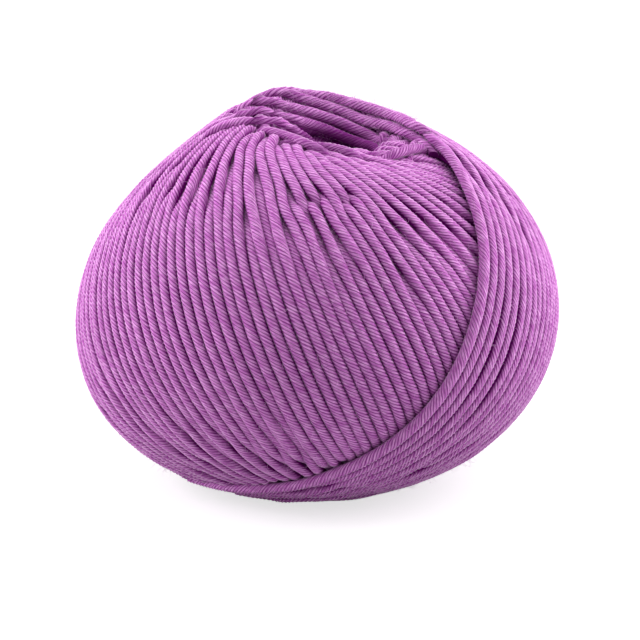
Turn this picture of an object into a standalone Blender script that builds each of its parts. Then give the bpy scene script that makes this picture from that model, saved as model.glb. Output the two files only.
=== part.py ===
# A 50 g ball of merino yarn, wound by machine round a spindle and resting on a small flat spot
import math

import bpy
import numpy as np

# Overall wound form, in metres, measured from the middle of the ball along the spindle line
BELLY_RADIUS = 0.0449       # from the spindle line to the mean lay at the belly
CROWN_HEIGHT = 0.0361       # from the middle up to the crown, without the hollow
BASE_HEIGHT = 0.0375        # from the middle down to the base, before it is pressed flat
REST_DEPTH = 0.0357         # from the middle down to the flat spot that it rests on

# How the ball sits: the spindle line leans off the vertical, and its ends are pushed sideways
LEAN_RIGHT = 7.7            # degrees toward +X
LEAN_FRONT = 1.0            # degrees toward -Y
CROWN_SHIFT = (-0.0012, 0.0021)     # of the crown, to the right and to the front
BASE_SHIFT = (-0.0040, 0.0)         # of the base, to the right and to the front

# The lay: every turn is a tilted loop, and each next loop is turned a little round the spindle
CROWN_GAP = 19.5            # degrees between the spindle line and a turn's highest point
BASE_GAP = 34.5             # degrees between the spindle line and a turn's lowest point
LAST_TURN = 125.5           # degrees from the front, where the last turn passes the crown
SLANT = -3.9                # degrees that a turn gains round the spindle toward the crown
LAY_THICKNESS = 0.0020      # by which the newest turns stand over the oldest ones
STEP_WIDTH = 1.2            # degrees taken at the belly by the edge of the newest turns
STEP_SOFTENING = 24         # by which that edge grows wider where the turns crowd together

# Main twists: the turns bunch into rounded ropes that follow the lay and tuck in under its edge
TWISTS_ROUND = 24
TWIST_DEPTH = 0.0013
TUCK_WIDTH = 16             # degrees from the edge where the older ropes start to flatten

# The hollow that the spindle leaves in the crown
HOLLOW_DEPTH = 0.0135
HOLLOW_HALF_ANGLE = 15.0    # degrees from the spindle line to the middle of its wall

# Broad unevenness: name, degrees round from the front, degrees down from the crown, height, spread
SWELLS = [
    ("raised back rim", 215, 26, 0.0030, 20),
    ("flat left shoulder", 257, 66, -0.0038, 30),
    ("full lower left side", 285, 122, 0.0031, 30),
]

# The grid: columns keep to the two edges where the newest turns cross the oldest ones
COLUMNS_BETWEEN_EDGES = 59
CLOSEST_EDGES = 38          # degrees that the columns' edges stay from the last turn's top and foot
RIM_RINGS = [8, 10.5, 13, 15.5, 18, 20.5, 23, 26, 29.5]
BODY_RING_STEP = 3.85

YARN_COLOUR = (0.47, 0.15, 0.47, 1.0)
YARN_ROUGHNESS = 0.85


def spindle_frame():
    """Right, front and up of the leaning spindle, as world vectors."""
    right_lean = math.radians(LEAN_RIGHT)
    front_lean = math.radians(LEAN_FRONT)
    up = np.array([math.sin(right_lean),
                   -math.sin(front_lean) * math.cos(right_lean),
                   math.cos(front_lean) * math.cos(right_lean)])
    up /= np.linalg.norm(up)
    front = np.array([0.0, -1.0, 0.0])
    front -= np.dot(front, up) * up
    front /= np.linalg.norm(front)
    return np.cross(up, front), front, up


def turned_since_crown(polar):
    """Angle that a turn has gone round the spindle, from its highest point down to this polar angle."""
    crown_gap = math.radians(CROWN_GAP)
    base_gap = math.radians(BASE_GAP)
    mean_gap = (crown_gap + base_gap) / 2
    share = np.clip((polar - crown_gap) / (math.pi - crown_gap - base_gap), 0, 1)
    even_polar = mean_gap + share * (math.pi - 2 * mean_gap)
    along = np.arccos(np.clip(np.cos(even_polar) / math.cos(mean_gap), -1, 1))
    return np.arctan2(np.sin(along), np.cos(along) * math.sin(mean_gap))


def lay_ages(polar, azimuth):
    """Angles that the winding has moved on since turns were laid here, one way down and one way up."""
    turned = turned_since_crown(polar)
    since_last = azimuth - math.radians(LAST_TURN) - math.radians(SLANT) * np.cos(polar)
    going_down = np.mod(since_last - turned, 2 * math.pi)
    coming_up = np.mod(since_last + turned, 2 * math.pi)
    return going_down, coming_up


def crowding(polar):
    """Spacing of the turns at this polar angle, as a share of their spacing at the belly."""
    gap = math.radians(CROWN_GAP) if polar < math.pi / 2 else math.radians(BASE_GAP)
    return math.sqrt(max(math.sin(polar) ** 2 - math.sin(gap) ** 2, 0)) / math.cos(gap)


def lay_height(polar, azimuth):
    """Height of the lay that is on top here, stepped at the edge of the newest turns, with its twists."""
    going_down, coming_up = lay_ages(polar, azimuth)
    age = np.minimum(going_down, coming_up)
    to_edge = 2 * math.pi - np.maximum(going_down, coming_up)
    step_width = math.radians(STEP_WIDTH) / 2 * (1 + STEP_SOFTENING * (1 - crowding(polar)) ** 2)
    on_edge = np.clip(1 - to_edge / step_width, 0, 1)
    thickness = LAY_THICKNESS * (1 - age / math.pi * (1 - on_edge))
    untucked = np.clip(to_edge / math.radians(TUCK_WIDTH), 0, 1)
    twist = TWIST_DEPTH / 2 * crowding(polar) * untucked * np.cos(TWISTS_ROUND * age)
    return thickness * (1 - hollow_share(polar)) + twist


def hollow_share(polar):
    """How far down the hollow this polar angle lies, from 0 outside it to 1 at its bottom."""
    return math.exp(-(math.degrees(polar) / HOLLOW_HALF_ANGLE) ** 4)


def swell_height(polar, azimuth):
    """Sum of the broad swells and flats at this place."""
    height = 0.0
    for _, swell_azimuth, swell_polar, swell, spread in SWELLS:
        centre_azimuth = math.radians(swell_azimuth)
        centre_polar = math.radians(swell_polar)
        nearness = (np.sin(polar) * math.sin(centre_polar) * np.cos(azimuth - centre_azimuth)
                    + np.cos(polar) * math.cos(centre_polar))
        height = height + swell * np.exp(-2 * (1 - nearness) / math.radians(spread) ** 2)
    return height


def wound_radius(polar, azimuth):
    """Distance of the wound surface from the middle of the ball."""
    end_height = CROWN_HEIGHT if polar < math.pi / 2 else BASE_HEIGHT
    belly_share = math.sin(polar) / BELLY_RADIUS
    end_share = math.cos(polar) / end_height
    body = 1 / math.hypot(belly_share, end_share) - HOLLOW_DEPTH * hollow_share(polar)
    return body + lay_height(polar, azimuth) + swell_height(polar, azimuth)


def column_azimuths(polar):
    """Azimuths of one ring's columns, close together at the two edges of the newest turns."""
    turned = math.degrees(turned_since_crown(polar))
    closest = CLOSEST_EDGES + (90 - CLOSEST_EDGES) * hollow_share(polar)
    half_width = min(max(turned, closest), 180 - CLOSEST_EDGES)
    last_turn = LAST_TURN + SLANT * math.cos(polar)
    half_step = STEP_WIDTH / 2
    newest_side = np.linspace(last_turn - half_width + half_step,
                              last_turn + half_width - half_step, COLUMNS_BETWEEN_EDGES)
    oldest_side = np.linspace(last_turn + half_width + half_step,
                              last_turn - half_width + 360 - half_step, COLUMNS_BETWEEN_EDGES)
    return np.radians(np.concatenate([newest_side, oldest_side]))


def ring_points(polar, frame):
    """World points of one ring of the wound surface, about the middle of the ball."""
    right, front, up = frame
    azimuth = column_azimuths(polar)
    radius = wound_radius(polar, azimuth)
    crown_share = max(math.cos(polar), 0) ** 2
    base_share = max(-math.cos(polar), 0) ** 2
    to_right = radius * math.sin(polar) * np.sin(azimuth)
    to_right += CROWN_SHIFT[0] * crown_share + BASE_SHIFT[0] * base_share
    to_front = radius * math.sin(polar) * np.cos(azimuth)
    to_front += CROWN_SHIFT[1] * crown_share + BASE_SHIFT[1] * base_share
    upward = radius * math.cos(polar)
    points = np.outer(to_right, right) + np.outer(to_front, front) + np.outer(upward, up)
    points[:, 2] = np.maximum(points[:, 2], -REST_DEPTH)
    return points


def ring_angles():
    """Polar angles of the rings, close together over the rim of the hollow."""
    body = np.arange(RIM_RINGS[-1] + BODY_RING_STEP, 177, BODY_RING_STEP)
    return np.radians(np.concatenate([RIM_RINGS, body]))


def wound_ball():
    """Vertices and triangles of the whole ball, its flat spot at z = 0 under the middle of its box."""
    frame = spindle_frame()
    rings = [ring_points(polar, frame) for polar in ring_angles()]
    across = 2 * COLUMNS_BETWEEN_EDGES
    crown = rings[0].mean(axis=0)
    base = rings[-1].mean(axis=0)
    vertices = np.concatenate([*rings, [crown], [base]])
    crown_index = len(vertices) - 2
    base_index = len(vertices) - 1

    triangles = []
    for ring in range(len(rings) - 1):
        for column in range(across):
            beside = (column + 1) % across
            upper = ring * across + column
            upper_beside = ring * across + beside
            lower = upper + across
            lower_beside = upper_beside + across
            # The diagonal of each cell follows the turns that lie on top there
            if column < COLUMNS_BETWEEN_EDGES:
                triangles.append((upper, lower, upper_beside))
                triangles.append((upper_beside, lower, lower_beside))
            else:
                triangles.append((upper, lower, lower_beside))
                triangles.append((upper, lower_beside, upper_beside))
    last = (len(rings) - 1) * across
    for column in range(across):
        beside = (column + 1) % across
        triangles.append((crown_index, column, beside))
        triangles.append((base_index, last + beside, last + column))

    lowest = vertices.min(axis=0)
    highest = vertices.max(axis=0)
    vertices -= [(lowest[0] + highest[0]) / 2, (lowest[1] + highest[1]) / 2, lowest[2]]
    return vertices, triangles


def yarn_material():
    """Matt orchid-purple wool."""
    material = bpy.data.materials.new("merino_orchid")
    material.use_nodes = True
    shader = material.node_tree.nodes["Principled BSDF"]
    shader.inputs["Base Color"].default_value = YARN_COLOUR
    shader.inputs["Roughness"].default_value = YARN_ROUGHNESS
    shader.inputs["Metallic"].default_value = 0.0
    material.diffuse_color = YARN_COLOUR
    return material


def build():
    for thing in list(bpy.data.objects):
        bpy.data.objects.remove(thing, do_unlink=True)
    vertices, triangles = wound_ball()
    mesh = bpy.data.meshes.new("yarn_ball")
    mesh.from_pydata(vertices.tolist(), [], triangles)
    mesh.validate()
    mesh.update()
    for face in mesh.polygons:
        face.use_smooth = True
    mesh.materials.append(yarn_material())
    ball = bpy.data.objects.new("yarn_ball", mesh)
    bpy.context.scene.collection.objects.link(ball)


build()
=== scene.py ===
import math

import bpy
import numpy as np
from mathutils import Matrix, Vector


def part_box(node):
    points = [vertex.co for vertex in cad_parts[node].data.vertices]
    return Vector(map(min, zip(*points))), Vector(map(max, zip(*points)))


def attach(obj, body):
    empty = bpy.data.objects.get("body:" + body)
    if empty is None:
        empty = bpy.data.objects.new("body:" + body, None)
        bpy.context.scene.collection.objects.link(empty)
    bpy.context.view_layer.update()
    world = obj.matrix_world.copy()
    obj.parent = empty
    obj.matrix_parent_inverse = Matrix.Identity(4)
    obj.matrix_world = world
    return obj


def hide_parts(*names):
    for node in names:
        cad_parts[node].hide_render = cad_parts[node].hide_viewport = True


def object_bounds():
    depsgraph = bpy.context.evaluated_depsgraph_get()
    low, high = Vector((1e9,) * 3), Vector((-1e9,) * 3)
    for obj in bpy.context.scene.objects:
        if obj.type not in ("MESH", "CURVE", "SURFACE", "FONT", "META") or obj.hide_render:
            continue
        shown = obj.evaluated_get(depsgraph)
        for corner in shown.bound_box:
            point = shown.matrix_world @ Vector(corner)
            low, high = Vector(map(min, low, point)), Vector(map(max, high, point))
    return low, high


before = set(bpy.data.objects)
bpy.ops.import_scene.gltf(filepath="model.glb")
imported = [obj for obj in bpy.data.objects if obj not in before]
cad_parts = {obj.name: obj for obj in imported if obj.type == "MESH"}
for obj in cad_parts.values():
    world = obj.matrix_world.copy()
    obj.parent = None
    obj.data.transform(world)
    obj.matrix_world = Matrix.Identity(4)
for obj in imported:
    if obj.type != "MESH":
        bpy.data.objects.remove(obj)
solidLow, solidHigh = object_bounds()
solidSize = [round((high - low) * 1000, 1) for low, high in zip(solidLow, solidHigh)]
print("frame loaded, ball of", solidSize, "mm")

# How the ball is wound, by the same rule and sizes as the solid that it stands for, in metres and degrees
ballForm = {
    "bellyRadius": 0.0449,          # from the spindle line to the lay at the belly
    "crownHeight": 0.0361,          # from the middle of the ball up to the crown
    "baseHeight": 0.0375,           # from the middle down to the base, before it is pressed flat
    "restDepth": 0.0357,            # from the middle down to the flat spot
    "middleToRight": 0.0005,        # of the middle from the middle of the ball's box
    "leanRight": 7.7,               # of the spindle line
    "leanFront": 1.0,
    "crownShift": (-0.0012, 0.0021),    # to the right and to the front
    "baseShift": (-0.0040, 0.0),
    "crownGap": 19.5,               # between the spindle line and a turn's highest point
    "baseGap": 34.5,                # between the spindle line and a turn's lowest point
    "lastTurn": 125.5,              # from the front, where the last turn passes the crown
    "slant": -3.9,                  # gained round the spindle toward the crown
    "layThickness": 0.0020,         # by which the newest turns stand over the oldest
    "hollowDepth": 0.0135,
    "hollowHalfAngle": 15.0,
    # round from the front, down from the crown, height, spread
    "swells": [(215, 26, 0.0030, 20), (257, 66, -0.0038, 30), (285, 122, 0.0031, 30)],
}

# The turns of yarn, and how far each one runs on under what covers it
turnLay = {
    "turnsPerHalfRound": 58,
    "yarnWidth": 0.00222,
    "yarnHeight": 0.00195,
    "sampleStep": 0.0010,
    "hiddenEdge": 9,                # degrees along the turn
    "hiddenCrown": 16,
    "hiddenBase": 22,
    "wander": 0.3,                  # sideways, as a share of the spacing
    "wanderWaves": 9,
    "unevenHeight": 0.00012,
    "unevenWaves": 11,
    "crownSwing": 1.0,              # random, in degrees
    "baseSwing": 1.5,
    "dropSwing": 0.1,               # random, as a share of the drop
    "evenUpTo": (130, 0.3),         # age, and the share of those swings that newer turns have
    "dropSpread": 9,                # degrees from a turn's top
    "sinkDepth": 0.0018,            # of a turn that has no room left beside its neighbours
    "firstSink": (0.80, 0.35),      # spacing where it begins, as a share of that at the belly, and its range
    "secondSink": (0.45, 0.25),
    "sinkSwing": 0.1,               # random, of the spacing where a sink begins
    "wallDive": 0.0060,             # of an older turn into the hollow's wall
    "wallAges": (60, 50),           # age from which turns dive there, and over how many more the dive grows
    "wallReach": (22, 18, 14),      # degrees along the turn: that the dive grows over from its top,
                                    # that it ends before the crossing with newer turns, and fades over
    # age of a turn, and how far down from its top it stays under the strands of the rim, in degrees
    "tucked": [(0, 40), (2, 0), (42, 0), (45, 40), (60, 54), (100, 56), (118, 46), (140, 44), (165, 42),
               (181, 38), (200, 24), (215, 16), (285, 14), (300, 0)],
    "tuckDepth": 0.0040,
    "tuckFade": (12, 14),           # degrees over which a tucked turn comes up, and that are built of it
    "spindleDepth": 0.010,          # under the crown, down to which the spindle keeps the hollow open
    "spindleRadius": (0.0044, 0.0078),  # at that depth and at the crown
    "deepFrom": (0.0024, 0.0062),   # depth under the lay over which the wool is painted more and more into shade
    "overFloor": 0.52,              # lowest middle of the yarn, as a share of its width
    "fewestPoints": 6,              # of a stretch that is worth building
    "seed": 11,
}

# How turns push each other apart; lengths are shares of the yarn's width, or of the sample step
settling = {
    "rounds": 30,
    "closest": 0.96,
    "lookEvery": 4,                 # rounds
    "lookWithin": 1.25,
    "samplesApart": 8,              # from which a turn may touch itself
    "touchWithin": 0.75,            # sample steps
    "push": 0.22,
    "smoothing": 0.3,
    "liftKept": 0.80,               # each round, of what has lifted a turn off the ball
    "shiftKept": 0.985,             # each round, of every other shift
}

# When a turn is covered or has an open side; lengths are shares of the yarn's width or height
turnCover = {
    "lookOver": 1.7,
    "over": 0.85,                   # from which a point of another turn lies over this one
    "sideReach": 0.45,
    "margin": 8,                    # samples built past the last one that shows
    "lookBeside": 1.35,
    "under": 0.3,                   # down to which a point of another turn lies beside this one
    "steepest": 0.5,                # sideways distance that it needs, for its height over this one
    "softened": 3,                  # times that the openness is averaged along the turn
    "crownOpenUpTo": 26,                # degrees from the crown within which the painted groove shade is mostly left off
    "crownOpenFade": 12,
    "crownOpenness": 0.8,               # least openness there
}

# Where the turns pass the crown: degrees wound since, gap to the spindle line, drop there
crownPasses = [
    (0, 25.0, 0.0004), (30, 24.5, 0.0006), (45, 23.0, 0.0008), (60, 22.0, 0.0006), (150, 21.0, 0.0006),
    (170, 23.0, 0.0016), (185, 24.0, 0.0020), (250, 23.5, 0.0020), (277, 21.5, 0.0012), (300, 21.5, 0.0010),
    (360, 23.0, 0.0010),
]

# The last strands over the hollow's far wall, up to the turn that each one goes down the ball as:
# angle from the crown, angle round from the front, millimetres over the body
rimStrands = [
    {"goesDownAs": 52, "points": [(22.5, 100, 0.6), (20.5, 124, 0.3), (19.6, 150, 0.1), (20.2, 178, 0.0),
                                  (23.0, 203, -0.5), (28.5, 221, 0.5)]},
    {"goesDownAs": 58, "points": [(30.0, 78, -2.2), (22.8, 100, -1.8), (19.2, 140, -1.9), (19.0, 176, -2.0),
                                  (21.6, 207, -1.6), (27.5, 229, -0.2)]},
    {"goesDownAs": 70, "points": [(22.0, 96, -4.6), (17.5, 130, -4.3), (15.4, 165, -4.2), (15.2, 203, -3.6),
                                  (18.5, 235, -2.2), (26.5, 250, -0.4)]},
    {"goesDownAs": 81, "points": [(18.0, 100, -7.2), (14.5, 140, -6.8), (12.0, 185, -6.0), (11.8, 225, -4.8),
                                  (14.0, 251, -3.4), (19.8, 260, -1.7), (28.0, 265, -0.3)]},
    {"goesDownAs": 93, "points": [(8.5, 225, -8.6), (9.8, 252, -6.8), (12.6, 270, -5.0), (16.0, 283, -2.9),
                                  (20.0, 286, -1.6), (25.5, 286, -0.7), (32.0, 281, 0.1)]},
]

# Where those strands join their turns, in degrees round from the crown, and how far their faces lean in
# toward the spindle line: in full up to one angle from the crown, then less and less
rimJoint = {"comesUp": 50, "goesDown": 62, "leanUpTo": 21, "leanFade": 14, "lean": 75}

# Inner turns that line the hollow and close the base: gap, depth under the lay, turns, degrees each way
crownLining = [(24.0, 0.0030, 26, 24), (20.5, 0.0042, 20, 23), (17.5, 0.0066, 16, 22), (14.5, 0.0090, 13, 22),
               (11.5, 0.0112, 10, 22), (8.0, 0.0130, 8, 18), (4.5, 0.0138, 6, 13), (1.0, 0.0142, 4, 12)]
baseLining = [(29.0, 0.0014, 18, 24), (22.5, 0.0015, 16, 28), (16.0, 0.0017, 13, 28), (9.5, 0.0019, 10, 28),
              (3.0, 0.0021, 7, 28)]

# More of them fill in under the left rim, between these degrees round from the front
leftRim = {"rows": [(26.5, 0.0024, 40, 10), (23.5, 0.0030, 36, 10)], "between": (236, 254)}

# How unevenly the inner turns lie, how far they lean in at the crown, and the age that marks them as inner
innerLay = {"gapSwing": 1.0, "turnSwing": 0.2, "heightSwing": 0.0004, "lean": 55.0, "age": 400}


def spindleFrame(form):
    rightLean = math.radians(form["leanRight"])
    frontLean = math.radians(form["leanFront"])
    up = np.array([math.sin(rightLean),
                   -math.sin(frontLean) * math.cos(rightLean),
                   math.cos(frontLean) * math.cos(rightLean)])
    up /= np.linalg.norm(up)
    front = np.array([0.0, -1.0, 0.0])
    front -= np.dot(front, up) * up
    front /= np.linalg.norm(front)
    return np.cross(up, front), front, up


def middleOf(form):
    low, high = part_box("yarn_ball")
    return np.array([(low.x + high.x) / 2 + form["middleToRight"], (low.y + high.y) / 2,
                     low.z + form["restDepth"]])


ballMiddle = middleOf(ballForm)
restHeight = ballMiddle[2] - ballForm["restDepth"]


def bodyPoint(form, polar, azimuth, height):
    # a place at this height over the wound body, without its hollow
    right, front, up = spindleFrame(form)
    endHeight = np.where(np.cos(polar) > 0, form["crownHeight"], form["baseHeight"])
    radius = 1 / np.hypot(np.sin(polar) / form["bellyRadius"], np.cos(polar) / endHeight)
    for swellAzimuth, swellPolar, swell, spread in form["swells"]:
        nearness = (np.sin(polar) * math.sin(math.radians(swellPolar))
                    * np.cos(azimuth - math.radians(swellAzimuth))
                    + np.cos(polar) * math.cos(math.radians(swellPolar)))
        radius = radius + swell * np.exp(-2 * (1 - nearness) / math.radians(spread) ** 2)
    radius = radius + height
    crownShare = np.clip(np.cos(polar), 0, None) ** 2
    baseShare = np.clip(-np.cos(polar), 0, None) ** 2
    toRight = radius * np.sin(polar) * np.sin(azimuth)
    toRight = toRight + form["crownShift"][0] * crownShare + form["baseShift"][0] * baseShare
    toFront = radius * np.sin(polar) * np.cos(azimuth)
    toFront = toFront + form["crownShift"][1] * crownShare + form["baseShift"][1] * baseShare
    upward = radius * np.cos(polar)
    return ballMiddle + toRight[..., None] * right + toFront[..., None] * front + upward[..., None] * up


def outwardAt(form, polar, azimuth, height):
    step = 1e-3
    here = bodyPoint(form, polar, azimuth, height)
    down = bodyPoint(form, polar + step, azimuth, height) - here
    along = bodyPoint(form, polar, azimuth + step, height) - here
    normal = np.cross(down, along)
    normal *= np.sign((normal * (here - ballMiddle)).sum(-1))[..., None]
    return normal / np.linalg.norm(normal, axis=-1)[..., None]


def loopPath(around, crownGap, baseGap):
    # a tilted loop: its angle from the crown and its angle round the spindle, from its highest point on
    meanGap = math.radians(ballForm["crownGap"] + ballForm["baseGap"]) / 2
    turned = np.unwrap(np.arctan2(np.sin(around), np.cos(around) * math.sin(meanGap)))
    evenPolar = np.arccos(np.cos(around) * math.cos(meanGap))
    share = (evenPolar - meanGap) / (math.pi - 2 * meanGap)
    return crownGap + share * (math.pi - crownGap - baseGap), turned


def smoothNoise(rng, count, knots):
    # smooth random values round a closed loop, from -1 to 1
    values = rng.uniform(-1, 1, knots)
    place = np.arange(count) / count * knots
    first = np.floor(place).astype(int)
    share = eased(place - first)
    return values[first % knots] * (1 - share) + values[(first + 1) % knots] * share


def eased(share):
    share = np.clip(share, 0, 1)
    return share * share * (3 - 2 * share)


def sunkLayers(turn, polar, lay, rng):
    # where the turns crowd toward an end, every second one sinks a layer, and then every second one again
    gap = np.radians(np.where(polar < math.pi / 2, ballForm["crownGap"], ballForm["baseGap"]))
    spacing = np.sqrt(np.clip(np.sin(polar) ** 2 - np.sin(gap) ** 2, 0, 1)) / np.cos(gap)
    sinks = []
    for begins, growsOver in (lay["firstSink"], lay["secondSink"]):
        swing = rng.uniform(-lay["sinkSwing"], lay["sinkSwing"])
        sinks.append(eased((begins + swing - spacing) / growsOver))
    return sinks[0] * (turn % 2 == 1) + sinks[1] * (turn % 4 > 0)


def smoothRoute(knots, step):
    # a smooth path through the knots (angle from the crown, angle round, height), with even steps in metres
    pointsPerKnot = 24
    padded = np.vstack([2 * knots[0] - knots[1], knots, 2 * knots[-1] - knots[-2]])
    share = np.linspace(0, 1, pointsPerKnot, endpoint=False)[:, None]
    path = []
    for first, second, third, fourth in zip(padded, padded[1:], padded[2:], padded[3:]):
        path.append(second + share * (third - first) / 2
                    + share ** 2 * (first - 2.5 * second + 2 * third - fourth / 2)
                    + share ** 3 * (1.5 * (second - third) + (fourth - first) / 2))
    path = np.vstack([*path, knots[-1]])
    places = bodyPoint(ballForm, *path.T)
    length = np.append(0, np.cumsum(np.linalg.norm(np.diff(places, axis=0), axis=1)))
    even = np.linspace(0, length[-1], max(int(length[-1] / step), 2))
    return np.column_stack([np.interp(even, length, column) for column in path.T])


def keptRuns(keep):
    # the samples of each stretch to keep of a closed turn, in order; a turn kept whole begins at the base
    samples = len(keep)
    if keep.all():
        return [(np.arange(samples + 1) + samples // 2) % samples]
    runs = []
    ends = np.flatnonzero(keep & ~np.roll(keep, -1))
    for start in np.flatnonzero(keep & ~np.roll(keep, 1)):
        end = ends[ends >= start].min() if (ends >= start).any() else ends.min() + samples
        runs.append(np.arange(start, end + 1) % samples)
    return runs


def rimRoute(strand, lipStart, after, lay):
    # one of the last strands over the far wall, from the lip where it has one, to its way down the ball
    knots = np.array(strand["points"]) * [math.radians(1), math.radians(1), 0.001]
    if lipStart is None:
        return np.vstack([smoothRoute(np.vstack([knots, after[0]]), lay["sampleStep"])[:-1], after])
    route = smoothRoute(np.vstack([lipStart[-1], knots, after[0]]), lay["sampleStep"])
    return np.vstack([lipStart, route[1:-1], after])


def layTurns(form, lay, passes, rng):
    # each stretch of yarn that shows: angle from the crown, angle round the spindle, height, then its age
    # and how far its face leans in toward the spindle line, in degrees
    passAges, passGaps, passDrops = (np.array(column) for column in zip(*passes))
    turns = 2 * lay["turnsPerHalfRound"]
    samples = int(2 * math.pi * form["bellyRadius"] / lay["sampleStep"])
    around = np.arange(samples) / samples * 2 * math.pi
    stretches = []
    rimTurns = {round(strand["goesDownAs"] * turns / 360): strand for strand in rimStrands}
    crownSwing, baseSwing, dropSwing = lay["crownSwing"], lay["baseSwing"], lay["dropSwing"]
    diveAge, diveGrows = lay["wallAges"]
    diveStart, diveEnd, diveFade = lay["wallReach"]
    tuckFade, tuckBuilt = lay["tuckFade"]
    for turn in range(turns):
        age = 360 * turn / turns
        unevenness = lay["evenUpTo"][1] if age < lay["evenUpTo"][0] else 1.0
        swing = rng.uniform(-crownSwing, crownSwing) * unevenness
        crownGap = math.radians(np.interp(age, passAges, passGaps) + swing)
        baseGap = math.radians(form["baseGap"] + rng.uniform(-baseSwing, baseSwing))
        drop = np.interp(age, passAges, passDrops) * (1 + rng.uniform(-dropSwing, dropSwing) * unevenness)
        polar, turned = loopPath(around, crownGap, baseGap)
        wander = smoothNoise(rng, samples, lay["wanderWaves"]) * lay["wander"] * math.radians(360 / turns)
        azimuth = math.radians(form["lastTurn"] + age) + turned + wander
        azimuth += math.radians(form["slant"]) * np.cos(polar)
        degreesRound = np.degrees(turned)
        fromCrown = 360 - degreesRound
        # a turn lies on top until a newer one crosses over it, and a layer down from there on
        newerAge = np.where(degreesRound < 180, age + 2 * degreesRound - 360, age - 2 * fromCrown)
        coveredTop = form["layThickness"] * (1 - np.clip(newerAge, 0, 360) / 180) - lay["yarnHeight"]
        ownTop = np.full(samples, form["layThickness"] * (1 - age / 180))
        top = np.where(newerAge > -lay["hiddenEdge"] / 2, np.minimum(ownTop, coveredTop), ownTop)
        nearCrown = np.exp(-(np.degrees(polar - crownGap) / lay["dropSpread"]) ** 2)
        # an older turn comes up out of the hollow's wall just before it passes the crown
        dive = lay["wallDive"] * eased((age - diveAge) / diveGrows) * eased(fromCrown / diveStart)
        dive = dive * (1 - eased((fromCrown - age / 2 + diveEnd) / diveFade)) * (degreesRound > 180)
        # tops are tucked under the strands at the left of the hollow, and into the hollow at its front
        tuckedUpTo = np.interp(age, *zip(*lay["tucked"]))
        dive += lay["tuckDepth"] * eased((tuckedUpTo - degreesRound) / tuckFade)
        height = (top - lay["yarnHeight"] / 2 - drop * nearCrown - dive
                  - sunkLayers(turn, polar, lay, rng) * lay["sinkDepth"]
                  + smoothNoise(rng, samples, lay["unevenWaves"]) * lay["unevenHeight"])
        goingDown = degreesRound <= 180 - age / 2 + lay["hiddenEdge"]
        goingDown &= degreesRound >= tuckedUpTo - tuckBuilt
        comingUp = (fromCrown <= 180 + lay["hiddenBase"]) & (fromCrown >= age / 2 - lay["hiddenEdge"])
        keep = goingDown | comingUp
        if tuckedUpTo == 0:
            keep |= fromCrown <= lay["hiddenCrown"]
        if turn == 0:
            # the newest turn comes up into the lip of the hollow, and its way down starts under the lip
            arriving = (degreesRound > 180) & (fromCrown >= rimJoint["comesUp"]) & keep
            lipStart = np.column_stack([polar, azimuth - 2 * math.pi, height])[arriving]
            keep &= degreesRound < 180
        if turn in rimTurns:
            leaving = (degreesRound >= rimJoint["goesDown"]) & goingDown
            after = np.column_stack([polar, azimuth, height])[leaving]
            route = rimRoute(rimTurns[turn], lipStart if turn == min(rimTurns) else None, after, lay)
            leanFaded = eased((np.degrees(route[:, 0]) - rimJoint["leanUpTo"]) / rimJoint["leanFade"])
            stretches.append((*route.T, age, rimJoint["lean"] * (1 - leanFaded)))
            keep &= degreesRound > 180
        for order in keptRuns(keep):
            stretches.append((polar[order], azimuth[order], height[order], age, np.zeros(len(order))))
    return stretches


def layLining(form, lay, rows, atCrown, rng, between=(0, 360)):
    # short inner stretches past one end of the spindle line
    gapSwing, turnSwing, heightSwing = innerLay["gapSwing"], innerLay["turnSwing"], innerLay["heightSwing"]
    stretches = []
    for gap, depth, turns, reach in rows:
        samples = int(2 * math.radians(reach) * form["baseHeight"] / lay["sampleStep"])
        around = np.radians(np.linspace(-reach, reach, samples))
        for turn in range(turns):
            if not between[0] <= 360 * turn / turns <= between[1]:
                continue
            ownGap = math.radians(gap + rng.uniform(-gapSwing, gapSwing))
            polar = np.arccos(np.cos(around) * math.cos(ownGap))
            azimuth = np.arctan2(np.sin(around), np.cos(around) * math.sin(ownGap))
            azimuth = azimuth + 2 * math.pi * (turn + rng.uniform(-turnSwing, turnSwing)) / turns
            rise = rng.uniform(-heightSwing, heightSwing)
            height = np.full(samples, -depth - lay["yarnHeight"] / 2 + rise)
            lean = np.full(samples, innerLay["lean"] if atCrown else 0.0)
            stretches.append((polar if atCrown else math.pi - polar, azimuth, height, innerLay["age"], lean))
    return stretches


def nearPairs(points, reach):
    # pairs of points closer than reach, looked up in a grid of cells
    cell = np.floor(points / reach).astype(np.int64)
    cell -= cell.min(axis=0) - 1
    size = cell.max(axis=0) + 2
    key = (cell[:, 0] * size[1] + cell[:, 1]) * size[2] + cell[:, 2]
    order = np.argsort(key, kind="stable")
    sortedKey = key[order]
    firsts, seconds = [], []
    for x, y, z in np.ndindex(3, 3, 3):
        target = key + ((x - 1) * size[1] + y - 1) * size[2] + z - 1
        low = np.searchsorted(sortedKey, target, "left")
        count = np.searchsorted(sortedKey, target, "right") - low
        first = np.repeat(np.arange(len(points)), count)
        offset = np.arange(count.sum()) - np.repeat(np.cumsum(count) - count, count)
        second = order[np.repeat(low, count) + offset]
        near = ((points[first] - points[second]) ** 2).sum(1) < reach ** 2
        near &= first != second
        firsts.append(first[near])
        seconds.append(second[near])
    return np.concatenate(firsts), np.concatenate(seconds)


def neighbours(values, turn):
    # the values one point back and one point on along each turn, and their own at its ends
    sameBefore = np.append(False, turn[1:] == turn[:-1])
    sameAfter = np.append(sameBefore[1:], False)
    before = np.where(sameBefore[:, None], np.roll(values, 1, axis=0), values)
    after = np.where(sameAfter[:, None], np.roll(values, -1, axis=0), values)
    return before, after


def tangentsOf(points, turn):
    before, after = neighbours(points, turn)
    tangent = after - before
    return tangent / np.maximum(np.linalg.norm(tangent, axis=1), 1e-9)[:, None]


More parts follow.
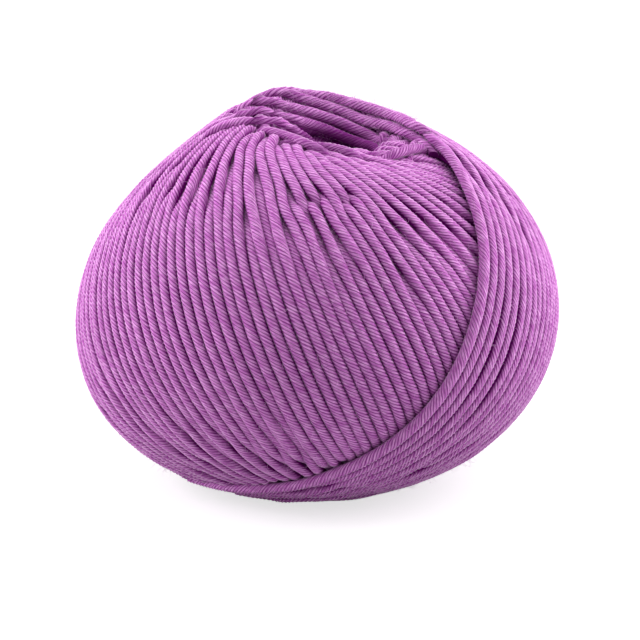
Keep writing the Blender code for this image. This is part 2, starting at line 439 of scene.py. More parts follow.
def clearOfSpindle(points, lay):
    # the spindle keeps the hollow open: narrow at its bottom, wider at the crown
    right, front, up = spindleFrame(ballForm)
    fromMiddle = points - ballMiddle
    along = fromMiddle @ up
    crownShare = np.clip(along / ballForm["crownHeight"], 0, 1)[:, None] ** 2
    lineShift = ballForm["crownShift"][0] * right + ballForm["crownShift"][1] * front
    across = fromMiddle - along[:, None] * up - crownShare * lineShift
    distance = np.maximum(np.linalg.norm(across, axis=1), 1e-6)
    rise = np.clip((along - ballForm["crownHeight"] + lay["spindleDepth"]) / lay["spindleDepth"], 0, 1)
    narrow, wide = lay["spindleRadius"]
    radius = narrow + (wide - narrow) * rise
    inside = (rise > 0) & (distance < radius)
    return points + np.where(inside, radius / distance - 1, 0)[:, None] * across


def settleTurns(rest, outward, turn, place, lay, floorHeight):
    # turns that cross or crowd push each other apart, while their own tension keeps each one smooth
    points = rest.copy()
    width = lay["yarnWidth"] * settling["closest"]
    for settled in range(settling["rounds"]):
        if settled % settling["lookEvery"] == 0:
            first, second = nearPairs(points, width * settling["lookWithin"])
            samplesApart = np.abs(place[first] - place[second])
            apart = (turn[first] != turn[second]) | (samplesApart > settling["samplesApart"])
            first, second = first[apart], second[apart]
        tangent = tangentsOf(points, turn)
        gap = points[first] - points[second]
        alongSecond = (gap * tangent[second]).sum(1)
        across = gap - alongSecond[:, None] * tangent[second]
        distance = np.maximum(np.linalg.norm(across, axis=1), 1e-6)
        touching = np.abs(alongSecond) < lay["sampleStep"] * settling["touchWithin"]
        touching &= distance < width
        push = np.where(touching, (width - distance) / distance, 0)[:, None] * across
        shift = np.zeros_like(points)
        np.add.at(shift, first, push * settling["push"])
        shift /= np.sqrt(np.maximum(np.bincount(first[touching], minlength=len(points)), 1))[:, None]
        offset = points - rest + shift
        before, after = neighbours(offset, turn)
        offset = offset * (1 - 2 * settling["smoothing"]) + (before + after) * settling["smoothing"]
        lift = (offset * outward).sum(1)
        sideways = offset - lift[:, None] * outward
        # pulled back down when lifted off the ball, and less so when pushed into it
        lift = np.where(lift > 0, lift * settling["liftKept"], lift * settling["shiftKept"])
        shifted = rest + sideways * settling["shiftKept"] + lift[:, None] * outward
        points = clearOfSpindle(shifted, lay)
        points[:, 2] = np.maximum(points[:, 2], floorHeight)
    return points


def showingPoints(points, outward, turn, lay):
    # the points to build and the bare ones: a point is covered when other turns lie over it from both
    # sides, and a margin of covered points along the yarn is built too
    first, second = nearPairs(points, lay["yarnWidth"] * turnCover["lookOver"])
    gap = points[second] - points[first]
    over = (gap * outward[first]).sum(1)
    sideDirection = np.cross(tangentsOf(points, turn), outward)
    side = (gap * sideDirection[first]).sum(1)
    higher = (turn[first] != turn[second]) & (over > lay["yarnHeight"] * turnCover["over"])
    reach = lay["yarnWidth"] * turnCover["sideReach"]
    toLeft = higher & (side > -reach) & (side < 0)
    toRight = higher & (side < reach) & (side > 0)
    covered = np.bincount(first[toLeft], minlength=len(points)) > 0
    covered &= np.bincount(first[toRight], minlength=len(points)) > 0
    showing = ~covered
    for _ in range(turnCover["margin"]):
        grown = showing.copy()
        grown[1:] |= showing[:-1] & (turn[1:] == turn[:-1])
        grown[:-1] |= showing[1:] & (turn[1:] == turn[:-1])
        showing = grown
    return showing, ~covered


def openSides(points, outward, turn, lay):
    # for each side of the yarn, 0 where another turn lies against it and 1 where nothing does
    first, second = nearPairs(points, lay["yarnWidth"] * turnCover["lookBeside"])
    gap = points[second] - points[first]
    over = (gap * outward[first]).sum(1)
    side = (gap * np.cross(tangentsOf(points, turn), outward)[first]).sum(1)
    beside = (turn[first] != turn[second]) & (over > -lay["yarnHeight"] * turnCover["under"])
    beside &= np.abs(side) > np.abs(over) * turnCover["steepest"]
    sides = []
    for chosen in (beside & (side < 0), beside & (side > 0)):
        isOpen = (np.bincount(first[chosen], minlength=len(points)) == 0).astype(float)
        for _ in range(turnCover["softened"]):
            isOpen = (np.roll(isOpen, 1) + isOpen + np.roll(isOpen, -1)) / 3
        sides.append(isOpen)
    return np.column_stack([*sides, np.zeros(len(points))])


def windBall(form, lay):
    rng = np.random.default_rng(lay["seed"])
    stretches = layTurns(form, lay, crownPasses, rng)
    stretches += layLining(form, lay, crownLining, True, rng)
    stretches += layLining(form, lay, baseLining, False, rng)
    stretches += layLining(form, lay, leftRim["rows"], True, rng, leftRim["between"])
    rest = np.concatenate([bodyPoint(form, *stretch[:3]) for stretch in stretches])
    outward = np.concatenate([outwardAt(form, *stretch[:3]) for stretch in stretches])
    azimuth = np.concatenate([stretch[1] for stretch in stretches])[:, None]
    lean = np.radians(np.concatenate([stretch[4] for stretch in stretches]))[:, None]
    right, front, _ = spindleFrame(form)
    outward = outward * np.cos(lean) - (np.sin(azimuth) * right + np.cos(azimuth) * front) * np.sin(lean)
    outward /= np.linalg.norm(outward, axis=1)[:, None]
    lengths = [len(stretch[0]) for stretch in stretches]
    turn = np.repeat(np.arange(len(stretches)), lengths)
    place = np.concatenate([np.arange(length) for length in lengths])
    age = np.repeat([stretch[3] for stretch in stretches], lengths)
    floorHeight = restHeight + lay["yarnWidth"] * lay["overFloor"]
    points = settleTurns(rest, outward, turn, place, lay, floorHeight)
    # how far each point lies into the painted shade of the deep hollow
    depth = -np.concatenate([stretch[2] for stretch in stretches])
    shallow, deep = lay["deepFrom"]
    inDeep = np.clip((depth - shallow) / (deep - shallow), 0, 1)
    showing, bare = showingPoints(points, outward, turn, lay)
    isOpen = openSides(points, outward, turn, lay)
    # at the crown the painted groove shade is mostly left off, and the turns' own shadows part them
    polar = np.concatenate([stretch[0] for stretch in stretches])
    loose = 1 - eased((np.degrees(polar) - turnCover["crownOpenUpTo"]) / turnCover["crownOpenFade"])
    isOpen[:, :2] = np.maximum(isOpen[:, :2], loose[:, None] * turnCover["crownOpenness"])
    side = np.cross(tangentsOf(points, turn), outward)
    # a covered stretch splits a turn in two
    begins = np.append(True, (turn[1:] != turn[:-1]) | (showing[1:] & ~showing[:-1]))
    turn = np.cumsum(begins)
    shownLength = np.bincount(turn[showing], minlength=turn.max() + 1)
    keep = showing & (shownLength[turn] > lay["fewestPoints"])
    print("turns laid:", len(stretches), "stretches,", round(len(rest) * lay["sampleStep"], 1), "m,",
          round(keep.sum() * lay["sampleStep"], 1), "m of it kept")
    return {"points": points[keep], "outward": outward[keep], "turn": turn[keep], "age": age[keep],
            "bare": bare[keep], "side": side[keep], "open": isOpen[keep], "deep": inDeep[keep]}


def treeNode(tree, kind, inputs=None, **settings):
    node = tree.nodes.new(kind)
    for name, value in settings.items():
        setattr(node, name, value)
    for name, value in (inputs or {}).items():
        if isinstance(value, bpy.types.NodeSocket):
            tree.links.new(value, node.inputs[name])
        else:
            node.inputs[name].default_value = value
    return node


def mathNode(tree, operation, *values):
    return treeNode(tree, "ShaderNodeMath", dict(enumerate(values)), operation=operation).outputs[0]


def vectorNode(tree, operation, *values):
    node = treeNode(tree, "ShaderNodeVectorMath", dict(enumerate(values)), operation=operation)
    return node.outputs["Value" if operation in ("DOT_PRODUCT", "LENGTH") else "Vector"]


def scaledVector(tree, vector, scale):
    node = treeNode(tree, "ShaderNodeVectorMath", {0: vector, "Scale": scale}, operation="SCALE")
    return node.outputs["Vector"]


def rangedValue(tree, value, fromRange, toRange=(0.0, 1.0)):
    return treeNode(tree, "ShaderNodeMapRange", {
        "Value": value, "From Min": fromRange[0], "From Max": fromRange[1],
        "To Min": toRange[0], "To Max": toRange[1]}).outputs[0]


def combined(tree, x, y, z):
    return treeNode(tree, "ShaderNodeCombineXYZ", {"X": x, "Y": y, "Z": z}).outputs[0]


def named(tree, name, dataType):
    node = treeNode(tree, "GeometryNodeInputNamedAttribute", {"Name": name}, data_type=dataType)
    return node.outputs["Attribute"]


def stored(tree, geometry, name, value, dataType):
    node = treeNode(tree, "GeometryNodeStoreNamedAttribute", {
        "Geometry": geometry, "Name": name, "Value": value}, data_type=dataType, domain="POINT")
    return node.outputs["Geometry"]


def newTree(name, inputs):
    tree = bpy.data.node_groups.new(name, "GeometryNodeTree")
    for label, kind in inputs:
        tree.interface.new_socket(label, in_out="INPUT", socket_type="NodeSocket" + kind)
    tree.interface.new_socket("Result", in_out="OUTPUT", socket_type="NodeSocketGeometry")
    return tree, treeNode(tree, "NodeGroupInput").outputs


def endTree(tree, geometry, material):
    realized = treeNode(tree, "GeometryNodeRealizeInstances", {"Geometry": geometry})
    painted = treeNode(tree, "GeometryNodeSetMaterial", {
        "Geometry": realized.outputs[0], "Material": material})
    treeNode(tree, "NodeGroupOutput", {"Result": painted.outputs[0]})


# A side that no other turn lies against gets the painted groove shade of a place higher up in the yarn, all
# as shares of the yarn's radius: where one side has changed to the other, and the height that an open side
# gets
sideLook = {"change": 0.4, "openHeight": 0.75}


def sweepYarnTree(look):
    tree, given = newTree("sweep yarn", [
        ("Turns", "Geometry"), ("Yarn Width", "Float"), ("Yarn Height", "Float"), ("Plies", "Int"),
        ("Ply Depth", "Float"), ("Twist Length", "Float"), ("Squareness", "Float"), ("Step", "Float"),
        ("Wool", "Material")])
    points = treeNode(tree, "GeometryNodeMeshToPoints", {"Mesh": given["Turns"]})
    turns = treeNode(tree, "GeometryNodePointsToCurves", {
        "Points": points.outputs[0], "Curve Group ID": named(tree, "turn", "INT"),
        "Weight": treeNode(tree, "GeometryNodeInputIndex").outputs[0]})
    smooth = treeNode(tree, "GeometryNodeCurveSplineType", {
        "Curve": turns.outputs[0]}, spline_type="CATMULL_ROM")
    even = treeNode(tree, "GeometryNodeResampleCurve",
                    {"Curve": smooth.outputs[0], "Length": given["Step"]}, mode="LENGTH")
    outward = named(tree, "outward", "FLOAT_VECTOR")
    facing = treeNode(tree, "GeometryNodeSetCurveNormal",
                      {"Curve": even.outputs[0], "Normal": outward}, mode="FREE")

    # the twist: the profile turns steadily along the yarn, and each turn starts at its own angle
    along = treeNode(tree, "GeometryNodeSplineParameter").outputs["Length"]
    twists = mathNode(tree, "DIVIDE", along, given["Twist Length"])
    twistAngle = mathNode(tree, "MULTIPLY", twists, 2 * math.pi)
    tilt = mathNode(tree, "ADD", twistAngle, named(tree, "startAngle", "FLOAT"))
    twisted = treeNode(tree, "GeometryNodeSetCurveTilt", {"Curve": facing.outputs[0], "Tilt": tilt})
    centred = stored(tree, twisted.outputs[0], "centre",
                     treeNode(tree, "GeometryNodeInputPosition").outputs[0], "FLOAT_VECTOR")
    measured = stored(tree, centred, "alongYarn", along, "FLOAT")

    # the profile: one crest and one valley for each ply
    radius = mathNode(tree, "MULTIPLY", given["Yarn Width"], 0.5)
    inner = mathNode(tree, "MULTIPLY", radius, mathNode(tree, "SUBTRACT", 1.0, given["Ply Depth"]))
    star = treeNode(tree, "GeometryNodeCurveStar", {
        "Points": given["Plies"], "Inner Radius": inner, "Outer Radius": radius})
    crested = stored(tree, star.outputs["Curve"], "plyCrest", star.outputs["Outer Points"], "FLOAT")
    roundPlace = vectorNode(tree, "NORMALIZE", treeNode(tree, "GeometryNodeInputPosition").outputs[0])
    profile = stored(tree, crested, "aroundYarn", roundPlace, "FLOAT_VECTOR")
    swept = treeNode(tree, "GeometryNodeCurveToMesh",
                     {"Curve": measured, "Profile Curve": profile, "Fill Caps": True})

    # how high each place lies in the section, for the painted shade of the grooves between turns
    position = treeNode(tree, "GeometryNodeInputPosition").outputs[0]
    centre = named(tree, "centre", "FLOAT_VECTOR")
    fromCentre = vectorNode(tree, "SUBTRACT", position, centre)
    over = vectorNode(tree, "DOT_PRODUCT", fromCentre, outward)
    overShare = mathNode(tree, "DIVIDE", over, radius)
    toSide = vectorNode(tree, "DOT_PRODUCT", fromCentre, named(tree, "side", "FLOAT_VECTOR"))
    sideShare = mathNode(tree, "DIVIDE", toSide, radius)
    rightShare = rangedValue(tree, sideShare, (-look["change"], look["change"]))
    leftShare = mathNode(tree, "SUBTRACT", 1.0, rightShare)
    openness = treeNode(tree, "ShaderNodeSeparateXYZ", {"Vector": named(tree, "openSides", "FLOAT_VECTOR")})
    isOpen = mathNode(tree, "ADD", mathNode(tree, "MULTIPLY", openness.outputs["Y"], rightShare),
                      mathNode(tree, "MULTIPLY", openness.outputs["X"], leftShare))
    openHeight = mathNode(tree, "MULTIPLY", isOpen, look["openHeight"])
    sectionHeight = mathNode(tree, "MAXIMUM", overShare, openHeight)
    level = stored(tree, swept.outputs[0], "sectionHeight", sectionHeight, "FLOAT")

    # pressed a little flat and square by the turns round it
    sideways = vectorNode(tree, "SUBTRACT", fromCentre, scaledVector(tree, outward, over))
    flatness = mathNode(tree, "DIVIDE", given["Yarn Height"], given["Yarn Width"])
    upPart = mathNode(tree, "ABSOLUTE", overShare)
    sidePart = mathNode(tree, "DIVIDE", vectorNode(tree, "LENGTH", sideways), radius)
    powers = mathNode(tree, "ADD", mathNode(tree, "POWER", upPart, given["Squareness"]),
                      mathNode(tree, "POWER", sidePart, given["Squareness"]))
    squareRadius = mathNode(tree, "POWER", powers, mathNode(tree, "DIVIDE", 1.0, given["Squareness"]))
    roundRadius = mathNode(tree, "DIVIDE", vectorNode(tree, "LENGTH", fromCentre), radius)
    swell = mathNode(tree, "DIVIDE", roundRadius, squareRadius)
    upward = scaledVector(tree, outward, mathNode(tree, "MULTIPLY", over, flatness))
    flattened = vectorNode(tree, "ADD", sideways, upward)
    place = vectorNode(tree, "ADD", centre, scaledVector(tree, flattened, swell))
    pressed = treeNode(tree, "GeometryNodeSetPosition", {"Geometry": level, "Position": place})
    shaded = treeNode(tree, "GeometryNodeSetShadeSmooth", {"Geometry": pressed.outputs[0]})
    endTree(tree, shaded.outputs[0], given["Wool"])
    return tree


def newObject(name, data):
    thing = bpy.data.objects.new(name, data)
    bpy.context.scene.collection.objects.link(thing)
    return thing


def madeByTree(name, mesh, tree, values):
    # the tree's result as a plain mesh, on an object that stays at the origin
    piece = newObject(name, mesh)
    modifier = piece.modifiers.new(tree.name, "NODES")
    modifier.node_group = tree
    for item in tree.interface.items_tree:
        if item.in_out == "INPUT" and item.name in values:
            modifier[item.identifier] = values[item.name]
    graph = bpy.context.evaluated_depsgraph_get()
    finished = bpy.data.meshes.new_from_object(piece.evaluated_get(graph), preserve_all_data_layers=True,
                                               depsgraph=graph)
    piece.modifiers.clear()
    piece.data = finished
    finished.name = name
    return piece


def addAttribute(mesh, name, kind, values):
    attribute = mesh.attributes.new(name, kind, "POINT")
    attribute.data.foreach_set("vector" if kind == "FLOAT_VECTOR" else "value", np.ravel(values))


def shadeGroup(name, inputs, outputs):
    group = bpy.data.node_groups.new(name, "ShaderNodeTree")
    for label, kind in inputs:
        group.interface.new_socket(label, in_out="INPUT", socket_type="NodeSocket" + kind)
    for label, kind in outputs:
        group.interface.new_socket(label, in_out="OUTPUT", socket_type="NodeSocket" + kind)
    return group, treeNode(group, "NodeGroupInput").outputs


def mixed(tree, share, first, second):
    return treeNode(tree, "ShaderNodeMix", {
        0: share, 6: first, 7: second}, data_type="RGBA", blend_type="MIX").outputs[2]


def woolMottleGroup():
    # slight changes of depth in the dye over the ball, used by every wool finish
    group, given = shadeGroup("wool mottle", [
        ("Colour", "Color"), ("Size", "Float"), ("Strength", "Float")], [("Colour", "Color")])
    place = treeNode(group, "ShaderNodeTexCoord").outputs["Object"]
    frequency = mathNode(group, "DIVIDE", 1.0, given["Size"])
    noise = treeNode(group, "ShaderNodeTexNoise", {"Vector": place, "Scale": frequency, "Detail": 3.0})
    change = mathNode(group, "SUBTRACT", noise.outputs["Fac"], 0.5)
    gain = mathNode(group, "ADD", mathNode(group, "MULTIPLY", change, given["Strength"]), 1.0)
    treeNode(group, "NodeGroupOutput", {"Colour": scaledVector(group, given["Colour"], gain)})
    return group


def mottled(tree, group, colour, size, strength):
    return treeNode(tree, "ShaderNodeGroup", {
        "Colour": colour, "Size": size, "Strength": strength}, node_tree=group).outputs[0]


def attributeOf(tree, name, output="Fac"):
    return treeNode(tree, "ShaderNodeAttribute", attribute_name=name).outputs[output]


def fibreGroup():
    # streaks of single fibres that lie along the plies, and the loose wool between them
    group, given = shadeGroup("fibre streaks", [
        ("Streaks Round", "Float"), ("Streak Length", "Float"), ("Loose Scale", "Float")],
        [("Streak", "Float"), ("Loose", "Float")])
    alongYarn = mathNode(group, "DIVIDE", attributeOf(group, "alongYarn"), given["Streak Length"])
    ringPlace = scaledVector(group, attributeOf(group, "aroundYarn", "Vector"), given["Streaks Round"])
    streakPlace = vectorNode(group, "ADD", ringPlace, combined(group, 0.0, 0.0, alongYarn))
    streak = treeNode(group, "ShaderNodeTexNoise", {"Vector": streakPlace, "Scale": 1.0, "Detail": 2.0})
    objectPlace = treeNode(group, "ShaderNodeTexCoord").outputs["Object"]
    loose = treeNode(group, "ShaderNodeTexNoise", {
        "Vector": objectPlace, "Scale": given["Loose Scale"], "Detail": 2.0})
    treeNode(group, "NodeGroupOutput", {"Streak": streak.outputs["Fac"], "Loose": loose.outputs["Fac"]})
    return group


# Colours are linear: the wool's dye, and the painted shade and painted highlight on it. A range runs from
# where an effect begins to where it is full, in shares
merinoWool = {
    "body": (0.570, 0.156, 0.560, 1),
    # painted shade: the colour of the grooves between turns and plies, and of the wool deep in the hollow
    "paintedShade": (0.150, 0.002, 0.150, 1),
    # painted highlight: the pale colour of the bright streaks on the plies, and of the loose fibres
    "paintedHighlight": (0.85, 0.43, 0.83, 1),
    # painted shade: the inner wool is darker than the yarn, for the shade under the turns and in the hollow
    "under": (0.26, 0.004, 0.26, 1),
    "sheen": 0.50, "sheenTint": (0.92, 0.94, 0.91, 1), "sheenRoughness": 0.22,
    "bumpDepth": 0.00008,
    "streaksRound": 5.0, "streakLength": 0.0016, "looseScale": 5200.0,
    "plyRange": (0.0, 0.50), "leastPlyShare": 0.06,     # painted shade, full in the valley between two plies and gone at a ply's crest
    "grooveRange": (0.28, 0.82),    # painted shade, full in the groove between two turns and gone up the yarn's side
    "deepShade": 0.85,              # painted shade: how much darker the wool deep in the hollow is painted
    # painted highlight: the streaks of fibre are painted pale over this range
    "streakRange": (0.42, 0.64),
    "streakRelief": 0.7, "looseRelief": 0.5,
    "dyeSpots": (0.012, 0.25),      # size and strength of the mottle, on the yarn
    "fibreSpots": (0.003, 0.5),     # and on the loose fibres
    "innerSpots": (0.002, 0.6),     # and on the inner wool
}


def principled(material, **values):
    shader = material.node_tree.nodes["Principled BSDF"]
    for name, value in values.items():
        socket = shader.inputs[name]
        if isinstance(value, bpy.types.NodeSocket):
            material.node_tree.links.new(value, socket)
        else:
            socket.default_value = value


def newMaterial(name):
    material = bpy.data.materials.new(name)
    material.use_nodes = True
    return material, material.node_tree


def spunMerino(wool, mottleGroup, streakGroup):
    material, tree = newMaterial("spun_merino")
    streaks = treeNode(tree, "ShaderNodeGroup", {
        "Streaks Round": wool["streaksRound"], "Streak Length": wool["streakLength"],
        "Loose Scale": wool["looseScale"]}, node_tree=streakGroup)
    streak, loose = streaks.outputs["Streak"], streaks.outputs["Loose"]

    # painted shade between the plies, between the turns and deep in the hollow, with painted highlights in
    # streaks on what is left
    onPly = rangedValue(tree, attributeOf(tree, "plyCrest"), wool["plyRange"], (wool["leastPlyShare"], 1.0))
    outOfGroove = rangedValue(tree, attributeOf(tree, "sectionHeight"), wool["grooveRange"])
    darkened = mathNode(tree, "MULTIPLY", attributeOf(tree, "deepInBall"), wool["deepShade"])
    lit = mathNode(tree, "SUBTRACT", 1.0, darkened)
    shade = mathNode(tree, "MULTIPLY", mathNode(tree, "MULTIPLY", onPly, outOfGroove), lit)
    colour = mixed(tree, shade, wool["paintedShade"], wool["body"])
    bright = rangedValue(tree, streak, wool["streakRange"])
    colour = mixed(tree, mathNode(tree, "MULTIPLY", bright, shade), colour, wool["paintedHighlight"])

    relief = mathNode(tree, "ADD", mathNode(tree, "MULTIPLY", streak, wool["streakRelief"]),
                      mathNode(tree, "MULTIPLY", loose, wool["looseRelief"]))
    bump = treeNode(tree, "ShaderNodeBump", {
        "Height": relief, "Distance": wool["bumpDepth"], "Strength": 1.0})
    principled(material, **{
        "Base Color": mottled(tree, mottleGroup, colour, *wool["dyeSpots"]),
        "Roughness": 0.85, "Metallic": 0.0, "Specular IOR Level": 0.04,
        "Sheen Weight": wool["sheen"], "Sheen Tint": wool["sheenTint"],
        "Sheen Roughness": wool["sheenRoughness"], "Normal": bump.outputs[0]})
    return material


def looseWool(wool, mottleGroup):
    material, tree = newMaterial("loose_merino_painted_highlight")
    principled(material, **{
        # painted highlight: the loose fibres are coloured all over in the pale highlight colour
        "Base Color": mottled(tree, mottleGroup, wool["paintedHighlight"], *wool["fibreSpots"]),
        "Roughness": 0.8, "Specular IOR Level": 0.2,
        "Sheen Weight": wool["sheen"], "Sheen Tint": wool["sheenTint"]})
    return material


def innerWool(wool, mottleGroup):
    material, tree = newMaterial("inner_merino_painted_shade")
    principled(material, **{
        # painted shade: darker than the yarn, for the shade under the turns and in the hollow
        "Base Color": mottled(tree, mottleGroup, wool["under"], *wool["innerSpots"]),
        "Roughness": 0.95, "Specular IOR Level": 0.1})
    return material


# The yarn itself: eight plies in an S twist
yarnSpin = {"Yarn Width": turnLay["yarnWidth"], "Yarn Height": turnLay["yarnHeight"], "Plies": 8,
            "Ply Depth": 0.20, "Twist Length": -0.0066, "Squareness": 2.6, "Step": 0.00072}
twistSeed = 5
turnPieces = ["newest_turns", "newer_turns", "middle_turns", "older_turns", "oldest_turns"]


def spunTurns(wound, wool):
    tree = sweepYarnTree(sideLook)
    rng = np.random.default_rng(twistSeed)
    # turns in order of age, shared out so that each piece has about the same length of yarn
    turnAge = np.zeros(wound["turn"].max() + 1)
    turnAge[wound["turn"]] = wound["age"]
    turnLength = np.bincount(wound["turn"])
    byAge = np.argsort(turnAge, kind="stable")
    pieceOf = np.zeros(len(turnAge), int)
    pieceOf[byAge] = np.cumsum(turnLength[byAge]) * len(turnPieces) // (turnLength.sum() + 1)
    startAngle = rng.uniform(0, 2 * math.pi, len(turnAge))
    pieces = []
    for number, name in enumerate(turnPieces):
        share = np.flatnonzero(pieceOf[wound["turn"]] == number)
        turn = wound["turn"][share]
        mesh = bpy.data.meshes.new(name)
        mesh.vertices.add(len(share))
        mesh.vertices.foreach_set("co", wound["points"][share].ravel())
        addAttribute(mesh, "outward", "FLOAT_VECTOR", wound["outward"][share])
        addAttribute(mesh, "side", "FLOAT_VECTOR", wound["side"][share])
        addAttribute(mesh, "openSides", "FLOAT_VECTOR", wound["open"][share])
        addAttribute(mesh, "turn", "INT", turn)
        addAttribute(mesh, "startAngle", "FLOAT", startAngle[turn])
        addAttribute(mesh, "deepInBall", "FLOAT", wound["deep"][share])
        piece = madeByTree(name, mesh, tree, {**yarnSpin, "Wool": wool})
        piece.data.calc_loop_triangles()
        print(name, len(piece.data.loop_triangles), "triangles")
        pieces.append(piece)
    return pieces


# The wool under the turns that show, in metres under the lay
innerBall = {"depth": 0.0026, "hollowDepth": 0.0150, "hollowHalfAngle": 17.5, "floorGap": 0.0036,
             "rings": 44, "columns": 88, "ends": (4, 176)}      # degrees from the crown


def innerCore(form, core, wool):
    polar = np.radians(np.linspace(*core["ends"], core["rings"]))
    azimuth = np.linspace(0, 2 * math.pi, core["columns"], endpoint=False)
    polarGrid, azimuthGrid = np.meshgrid(polar, azimuth, indexing="ij")
    hollow = np.exp(-(np.degrees(polarGrid) / core["hollowHalfAngle"]) ** 4)
    height = -core["depth"] - (core["hollowDepth"] - core["depth"]) * hollow
    rings = bodyPoint(form, polarGrid, azimuthGrid, height)
    vertices = np.concatenate([rings.reshape(-1, 3), [rings[0].mean(axis=0)], [rings[-1].mean(axis=0)]])
    vertices[:, 2] = np.maximum(vertices[:, 2], restHeight + core["floorGap"])
    columns = core["columns"]
    faces = []
    for column in range(columns):
        beside = (column + 1) % columns
        for ring in range(core["rings"] - 1):
            start = ring * columns
            faces.append((start + column, start + columns + column, start + columns + beside, start + beside))
        last = (core["rings"] - 1) * columns
        faces.append((len(vertices) - 2, column, beside))
        faces.append((len(vertices) - 1, last + beside, last + column))
    mesh = bpy.data.meshes.new("inner_wool")
    mesh.from_pydata(vertices.tolist(), [], faces)
    mesh.shade_smooth()
    mesh.materials.append(wool)
    return newObject("inner_wool", mesh)


# Loose fibres that stand off the turns, the shape of one as shares of its length, and where they stand
fuzzLook = {
    "count": 5200, "length": 0.0013, "thickness": 0.000032, "lean": 1.0, "seed": 3,
    "bend": (0.05, 0.0, 0.65), "tip": (0.75, 0.2, 0.7), "sizes": (0.45, 1.35),
    "rimShare": 0.18, "rimAngle": 24, "floorGap": 0.0045,
    "sideAngle": 1.1,               # radians to either side of the yarn's top
    "rootHeight": 0.47,             # over the yarn's middle, as a share of its height
    "deepest": 0.1,                 # share of the way into the dark of the hollow
}


def raiseFuzzTree(fuzz):
    tree, given = newTree("raise fuzz", [
        ("Roots", "Geometry"), ("Length", "Float"), ("Thickness", "Float"), ("Lean", "Float"),
        ("Seed", "Int"), ("Wool", "Material")])
    length, lean = given["Length"], given["Lean"]
    bend = scaledVector(tree, fuzz["bend"], length)
    tip = scaledVector(tree, fuzz["tip"], length)
    arc = treeNode(tree, "GeometryNodeCurveQuadraticBezier", {
        "Resolution": 3, "Start": (0.0, 0.0, 0.0), "Middle": bend, "End": tip})
    profile = treeNode(tree, "GeometryNodeCurvePrimitiveCircle", {
        "Resolution": 3, "Radius": mathNode(tree, "MULTIPLY", given["Thickness"], 0.5)})
    fibre = treeNode(tree, "GeometryNodeCurveToMesh", {
        "Curve": arc.outputs[0], "Profile Curve": profile.outputs[0], "Fill Caps": True})
    upright = treeNode(tree, "FunctionNodeAlignRotationToVector", {
        "Vector": named(tree, "rootDirection", "FLOAT_VECTOR")}, axis="Z")
    spin = treeNode(tree, "FunctionNodeRandomValue", {"Seed": given["Seed"]}, data_type="FLOAT_VECTOR")
    for bound, side, whole in (("Min", -0.5, 0.0), ("Max", 0.5, 2 * math.pi)):
        leaned = mathNode(tree, "MULTIPLY", lean, side)
        tree.links.new(combined(tree, leaned, leaned, whole), spin.inputs[bound])
    turned = treeNode(tree, "FunctionNodeRotateRotation", {
        "Rotation": upright.outputs[0], "Rotate By": spin.outputs["Value"]}, rotation_space="LOCAL")
    size = treeNode(tree, "FunctionNodeRandomValue", {
        2: fuzz["sizes"][0], 3: fuzz["sizes"][1], "Seed": given["Seed"]})
    points = treeNode(tree, "GeometryNodeMeshToPoints", {"Mesh": given["Roots"]})
    raised = treeNode(tree, "GeometryNodeInstanceOnPoints", {
        "Points": points.outputs[0], "Instance": fibre.outputs[0], "Rotation": turned.outputs[0],
        "Scale": size.outputs[1]})
    endTree(tree, raised.outputs[0], given["Wool"])
    return tree


def woolFuzz(form, wound, fuzz, wool):
    rng = np.random.default_rng(fuzz["seed"])
    offFloor = wound["points"][:, 2] > restHeight + fuzz["floorGap"]
    outside = (wound["age"] < innerLay["age"]) & (wound["deep"] < fuzz["deepest"])
    bare = np.flatnonzero(wound["bare"] & outside & offFloor)
    up = spindleFrame(form)[2]
    fromMiddle = wound["points"][bare] - ballMiddle
    nearRim = np.degrees(np.arccos(np.clip(fromMiddle @ up / np.linalg.norm(fromMiddle, axis=1), -1, 1)))
    rim = bare[nearRim < fuzz["rimAngle"]]
    rimCount = int(fuzz["count"] * fuzz["rimShare"])
    chosen = np.concatenate([rng.choice(bare, fuzz["count"] - rimCount), rng.choice(rim, rimCount)])
    tangent = tangentsOf(wound["points"], wound["turn"])[chosen]
    outward = wound["outward"][chosen]
    side = np.cross(tangent, outward)
    angle = rng.uniform(-fuzz["sideAngle"], fuzz["sideAngle"], len(chosen))[:, None]
    direction = np.cos(angle) * outward + np.sin(angle) * side
    roots = (wound["points"][chosen] + direction * turnLay["yarnHeight"] * fuzz["rootHeight"]
             + tangent * rng.uniform(-0.5, 0.5, (len(chosen), 1)) * turnLay["sampleStep"])
    mesh = bpy.data.meshes.new("wool_fuzz")
    mesh.vertices.add(len(roots))
    mesh.vertices.foreach_set("co", roots.ravel())
    addAttribute(mesh, "rootDirection", "FLOAT_VECTOR", direction)
    return madeByTree("wool_fuzz", mesh, raiseFuzzTree(fuzz), {
        "Length": fuzz["length"], "Thickness": fuzz["thickness"], "Lean": fuzz["lean"], "Seed": fuzz["seed"],
        "Wool": wool})


# The camera of the photograph, in metres and degrees from the middle of the ball
cameraPlace = {"distance": 0.5157, "elevation": 15.0, "aimBelow": 0.00476, "lens": 150, "sensor": 36,
               "nearest": 0.01}


def photoCamera(place):
    elevation = math.radians(place["elevation"])
    back = np.array([0, -math.cos(elevation), math.sin(elevation)])
    upward = np.array([0, math.sin(elevation), math.cos(elevation)])
    data = bpy.data.cameras.new("camera")
    data.lens = place["lens"]
    data.sensor_width = place["sensor"]
    data.clip_start = place["nearest"]
    camera = newObject("camera", data)
    camera.location = ballMiddle - place["aimBelow"] * upward + place["distance"] * back
    camera.rotation_euler = (math.pi / 2 - elevation, 0, 0)
    bpy.context.scene.camera = camera


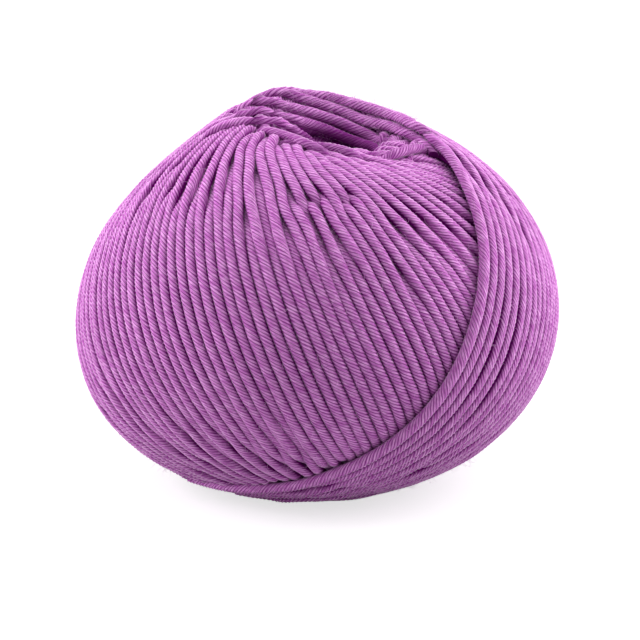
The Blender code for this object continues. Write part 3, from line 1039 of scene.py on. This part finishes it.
# Soft lights: direction round from the front and up, in degrees, then distance, width, height and power
studio = {
    "lights": {
        "left_panel": (-98, 12, 0.60, 0.45, 0.70, 5.0),
        "right_panel": (98, 24, 0.60, 0.45, 0.70, 3.3),
        "overhead": (180, 78, 0.60, 0.60, 0.55, 1.2),
    },
    "sideLight": 1.05,              # of the dome at the left and right
    "frontLight": 0.28,             # of the dome in front and behind
    "domeChange": (0.15, 0.85),     # from the sides to the front, as the cosine of the angle
    "floorSize": 6.0,
    "floorColour": (0.55, 0.55, 0.55, 1),
    "floorGlow": 0.68,              # seen by the camera alone, so that the floor stays white
}


def studioLight(look):
    for name, (azimuth, elevation, distance, width, height, power) in look["lights"].items():
        data = bpy.data.lights.new(name, "AREA")
        data.shape = "RECTANGLE"
        data.size = width
        data.size_y = height
        data.energy = power
        light = newObject(name, data)
        level = math.cos(math.radians(elevation)) * distance
        light.location = (ballMiddle[0] + level * math.sin(math.radians(azimuth)),
                          ballMiddle[1] - level * math.cos(math.radians(azimuth)),
                          ballMiddle[2] + distance * math.sin(math.radians(elevation)))
        light.rotation_euler = (math.radians(90 - elevation), 0, math.radians(azimuth))
    world = bpy.data.worlds.new("studio")
    world.use_nodes = True
    tree = world.node_tree
    direction = treeNode(tree, "ShaderNodeTexCoord").outputs["Generated"]
    frontShare = mathNode(tree, "ABSOLUTE", vectorNode(tree, "DOT_PRODUCT", direction, (0, -1, 0)))
    dimmed = rangedValue(tree, frontShare, look["domeChange"], (look["sideLight"], look["frontLight"]))
    seen = treeNode(tree, "ShaderNodeLightPath").outputs["Is Camera Ray"]
    strength = mathNode(tree, "MAXIMUM", dimmed, seen)
    tree.nodes["Background"].inputs["Color"].default_value = (1, 1, 1, 1)
    tree.links.new(strength, tree.nodes["Background"].inputs["Strength"])
    bpy.context.scene.world = world
    bpy.context.scene.view_settings.view_transform = "Standard"


def paleFloor(look):
    half = look["floorSize"] / 2
    mesh = bpy.data.meshes.new("floor")
    corners = [(-half, -half, 0), (half, -half, 0), (half, half, 0), (-half, half, 0)]
    mesh.from_pydata(corners, [], [(0, 1, 2, 3)])
    material, tree = newMaterial("pale_floor")
    seen = treeNode(tree, "ShaderNodeLightPath").outputs["Is Camera Ray"]
    principled(material, **{"Base Color": look["floorColour"], "Roughness": 0.9, "Specular IOR Level": 0.1,
                            "Emission Color": (1, 1, 1, 1),
                            "Emission Strength": mathNode(tree, "MULTIPLY", seen, look["floorGlow"])})
    mesh.materials.append(material)
    floor = newObject("floor", mesh)


photoCamera(cameraPlace)
studioLight(studio)
paleFloor(studio)
print("camera, lights and floor placed")

wound = windBall(ballForm, turnLay)
mottleGroup = woolMottleGroup()
streakGroup = fibreGroup()
ballPieces = spunTurns(wound, spunMerino(merinoWool, mottleGroup, streakGroup))
ballPieces.append(innerCore(ballForm, innerBall, innerWool(merinoWool, mottleGroup)))
ballPieces.append(woolFuzz(ballForm, wound, fuzzLook, looseWool(merinoWool, mottleGroup)))
for piece in ballPieces:
    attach(piece, "root")
    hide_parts("yarn_ball")
print("pieces made:", len(ballPieces))
